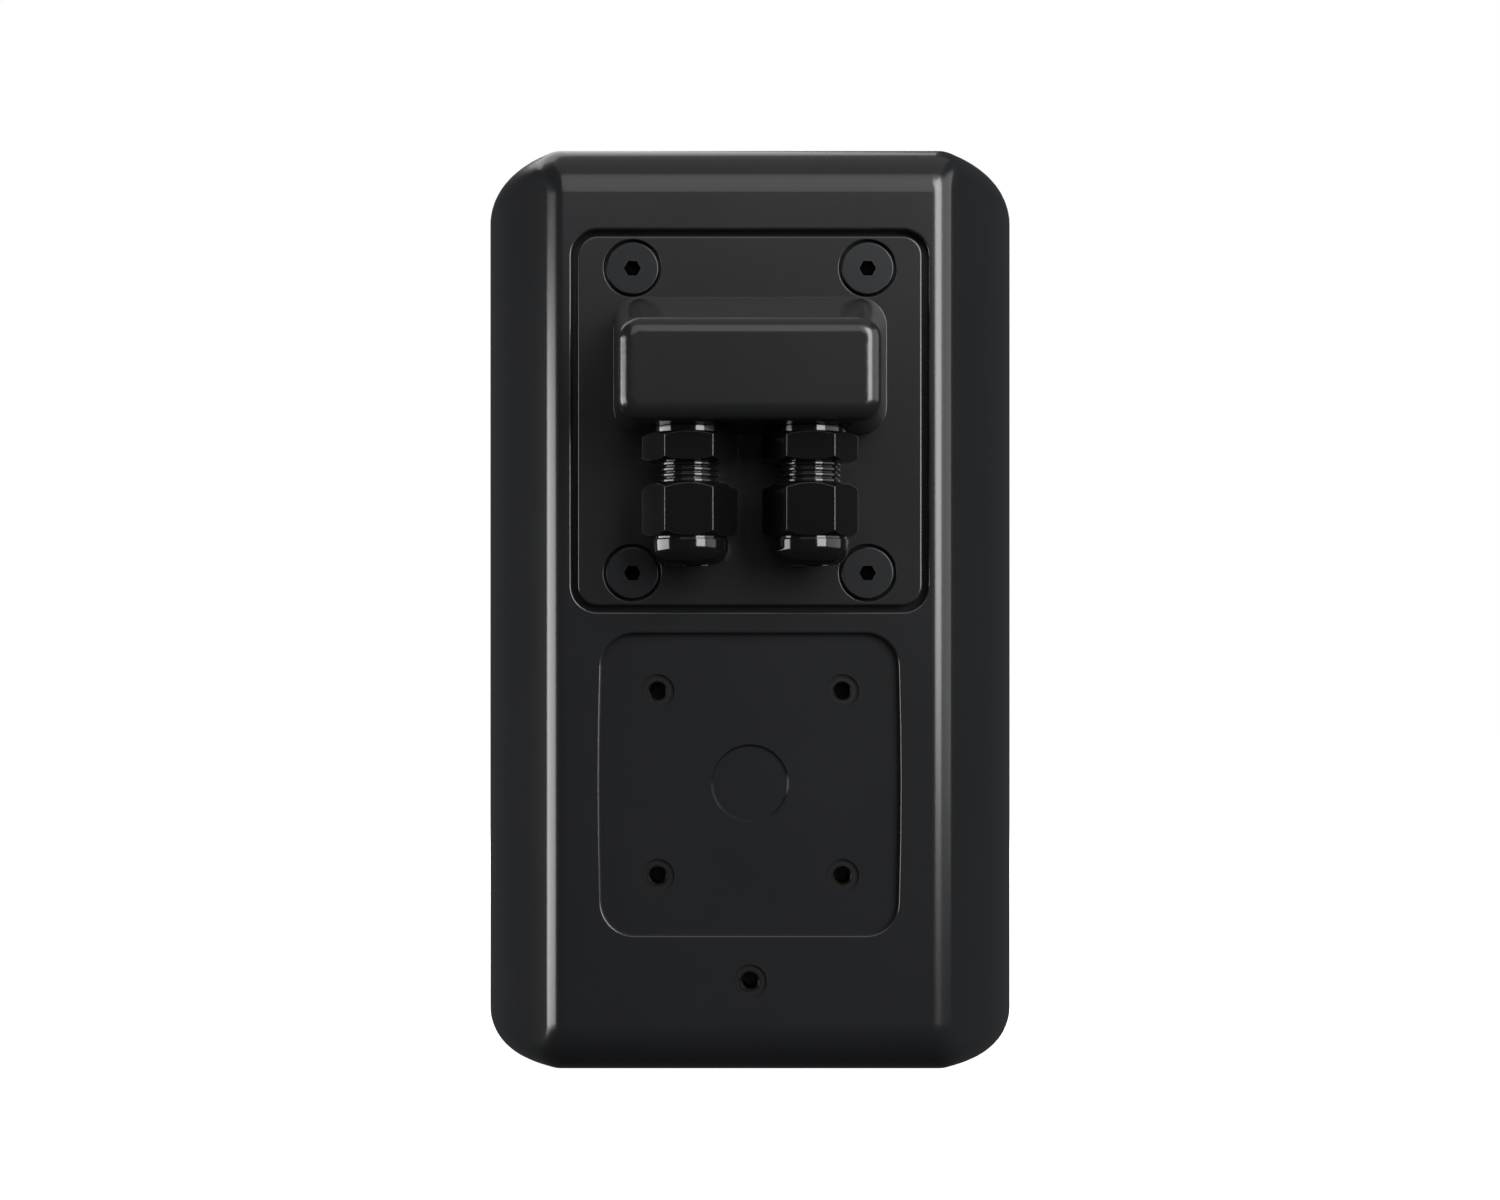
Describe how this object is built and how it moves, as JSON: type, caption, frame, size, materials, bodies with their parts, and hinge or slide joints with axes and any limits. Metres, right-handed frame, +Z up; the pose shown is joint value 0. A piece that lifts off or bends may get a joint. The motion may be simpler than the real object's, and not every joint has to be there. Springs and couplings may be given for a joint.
{
  "type": "wall loudspeaker",
  "caption": "Weatherproof two-way wall loudspeaker with a curved moulded cabinet, a hooded rear terminal cover with downward cable glands, and a threaded recess for a wall bracket.",
  "frame": {"origin": "under the middle of the object, on the surface that the flat bottom stands on", "axes": "+Z up, +X across the width, -Y out of the grille, +Y out of the flat back"},
  "size_m": [0.152, 0.164, 0.251],
  "materials": {
    "cabinet_plastic": "charcoal moulded plastic with a fine satin texture",
    "cover_plastic": "charcoal moulded plastic, slightly smoother than the cabinet",
    "gland_plastic": "glossy black polyamide",
    "seal_rubber": "matt black rubber",
    "screw_black": "satin black coated steel",
    "black_steel": "blackened steel",
    "plated_steel": "zinc-plated steel",
    "insert_metal": "dulled brass",
    "grille_steel": "powder-coated perforated steel",
    "grille_cloth": "open black acoustic cloth",
    "basket_steel": "black painted pressed steel",
    "ferrite": "dull ground ferrite",
    "surround_rubber": "smooth black rubber",
    "spider_cloth": "resin-treated woven cloth",
    "cone_paper": "pressed black paper pulp",
    "copper": "enamelled copper wire",
    "driver_plastic": "black moulded plastic",
    "dome_cloth": "coated silk",
    "board_laminate": "green glass-fibre board",
    "capacitor_film": "yellow film tape",
    "resistor_ceramic": "off-white cement",
    "core_steel": "stacked varnished laminations",
    "winding_tape": "amber insulating tape",
    "wadding": "white polyester wadding",
    "cup_plastic": "black moulded plastic",
    "block_plastic": "light grey moulded plastic",
    "knob_plastic": "red moulded plastic",
    "lead_sleeve": "dark red insulated wire"
  },
  "bodies": {
    "cabinet": {"rear_cabinet": "cabinet_plastic", "front_baffle": "cabinet_plastic", "baffle_gasket": "seal_rubber", "baffle_screws": "black_steel", "grille": "grille_steel", "grille_cloth": "grille_cloth", "woofer_basket": "basket_steel", "woofer_terminals": "board_laminate", "woofer_gasket": "seal_rubber", "woofer_top_plate": "plated_steel", "woofer_magnet": "ferrite", "woofer_pole_plate": "plated_steel", "woofer_screws": "black_steel", "woofer_surround": "surround_rubber", "woofer_spider": "spider_cloth", "tweeter_faceplate": "driver_plastic", "tweeter_front_plate": "plated_steel", "tweeter_magnet": "ferrite", "tweeter_screws": "black_steel", "left_port_tube": "driver_plastic", "right_port_tube": "driver_plastic", "crossover_board": "board_laminate", "board_screws": "plated_steel", "crossover_inductor": "copper", "crossover_capacitors": "capacitor_film", "crossover_resistor": "resistor_ceramic", "transformer_core": "core_steel", "transformer_winding": "winding_tape", "damping_wadding": "wadding", "terminal_cup": "cup_plastic", "cup_screws": "black_steel", "terminal_block": "block_plastic", "terminal_screws": "plated_steel", "tap_switch": "cup_plastic", "cover_gasket": "seal_rubber", "terminal_cover": "cover_plastic", "cover_screws": "screw_black", "cover_inserts": "insert_metal", "bracket_inserts": "insert_metal", "safety_insert": "insert_metal", "supply_leads": "lead_sleeve", "woofer_leads": "lead_sleeve", "tweeter_leads": "lead_sleeve", "left_gland_washer": "gland_plastic", "left_gland_body": "gland_plastic", "left_gland_lock_nut": "gland_plastic", "right_gland_washer": "gland_plastic", "right_gland_body": "gland_plastic", "right_gland_lock_nut": "gland_plastic"},
    "woofer_cone": {"woofer_cone": "cone_paper", "woofer_dust_cap": "cone_paper", "woofer_voice_coil": "copper"},
    "tweeter_dome": {"tweeter_dome": "dome_cloth"},
    "tap_knob": {"tap_knob": "knob_plastic"},
    "left_gland_clamp": {"left_gland_claw": "gland_plastic", "left_gland_seal": "seal_rubber"},
    "left_gland_nut": {"left_gland_nut": "gland_plastic"},
    "right_gland_clamp": {"right_gland_claw": "gland_plastic", "right_gland_seal": "seal_rubber"},
    "right_gland_nut": {"right_gland_nut": "gland_plastic"}
  },
  "joints": [
    {"name": "woofer_excursion", "type": "slide", "parent": "cabinet", "child": "woofer_cone", "axis": [0, -1, 0], "range_m": [-0.003, 0.003], "stiffness_N_per_m": 1260, "deforming": ["woofer_surround", "woofer_spider"]},
    {"name": "tweeter_excursion", "type": "slide", "parent": "cabinet", "child": "tweeter_dome", "axis": [0, -1, 0], "range_m": [-0.0003, 0.0003], "stiffness_N_per_m": 2000},
    {"name": "tap_selector_turn", "type": "hinge", "parent": "cabinet", "child": "tap_knob", "pos_m": [0, 0.021, 0.1882], "axis": [0, 1, 0], "range_deg": [0, 120]},
    {"name": "left_gland_travel", "type": "slide", "parent": "cabinet", "child": "left_gland_clamp", "axis": [0, 0, 1], "range_m": [-0.002, 0.005]},
    {"name": "left_gland_turn", "type": "hinge", "parent": "left_gland_clamp", "child": "left_gland_nut", "pos_m": [0.016, 0.063, 0.15], "axis": [0, 0, 1], "range_deg": [-480.5, 1200.5]},
    {"name": "right_gland_travel", "type": "slide", "parent": "cabinet", "child": "right_gland_clamp", "axis": [0, 0, 1], "range_m": [-0.002, 0.005]},
    {"name": "right_gland_turn", "type": "hinge", "parent": "right_gland_clamp", "child": "right_gland_nut", "pos_m": [-0.016, 0.063, 0.15], "axis": [0, 0, 1], "range_deg": [-480.5, 1200.5]}
  ],
  "couplings": [
    {"joint": "left_gland_turn", "follows": "left_gland_travel", "rad_per_m": 4188.8},
    {"joint": "right_gland_turn", "follows": "right_gland_travel", "rad_per_m": 4188.8}
  ]
}
